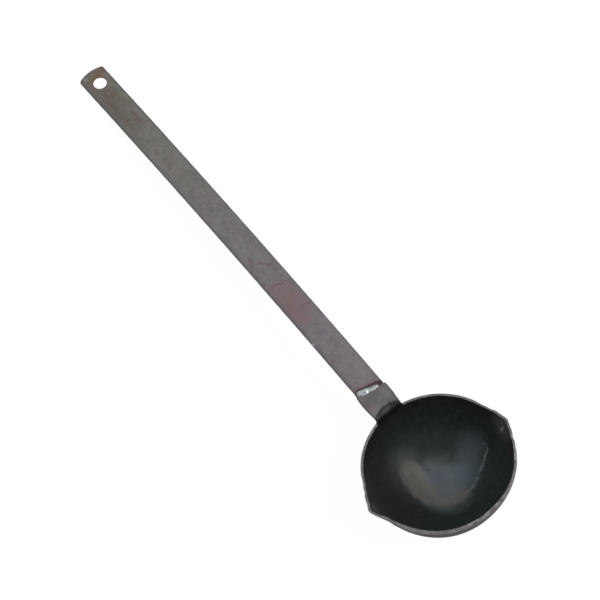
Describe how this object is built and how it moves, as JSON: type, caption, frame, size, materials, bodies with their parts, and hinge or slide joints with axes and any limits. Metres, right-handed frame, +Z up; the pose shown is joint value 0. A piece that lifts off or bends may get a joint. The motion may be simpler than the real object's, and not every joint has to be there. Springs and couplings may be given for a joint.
{
  "type": "pouring ladle",
  "caption": "Hand ladle for molten lead: pressed steel bowl with two pouring lips, welded to a long flat strap handle with a hanging hole.",
  "frame": {"origin": "on the bench the ladle rests on, below the middle of its length, on the handle's centreline", "axes": "+Z up from the bench, +X along the handle towards its hanging hole, +Y towards the heavier pouring lip"},
  "size_m": [0.4198, 0.1103, 0.0648],
  "materials": {
    "bowl_steel": "dark heat scale and lead residue inside, bare worn rim",
    "strap_steel": "dull grey mill scale with rust spots",
    "weld_metal": "bare weld metal, slightly blue"
  },
  "bodies": {
    "root": {"bowl": "bowl_steel", "handle": "strap_steel", "weld_bead": "weld_metal"}
  },
  "joints": []
}
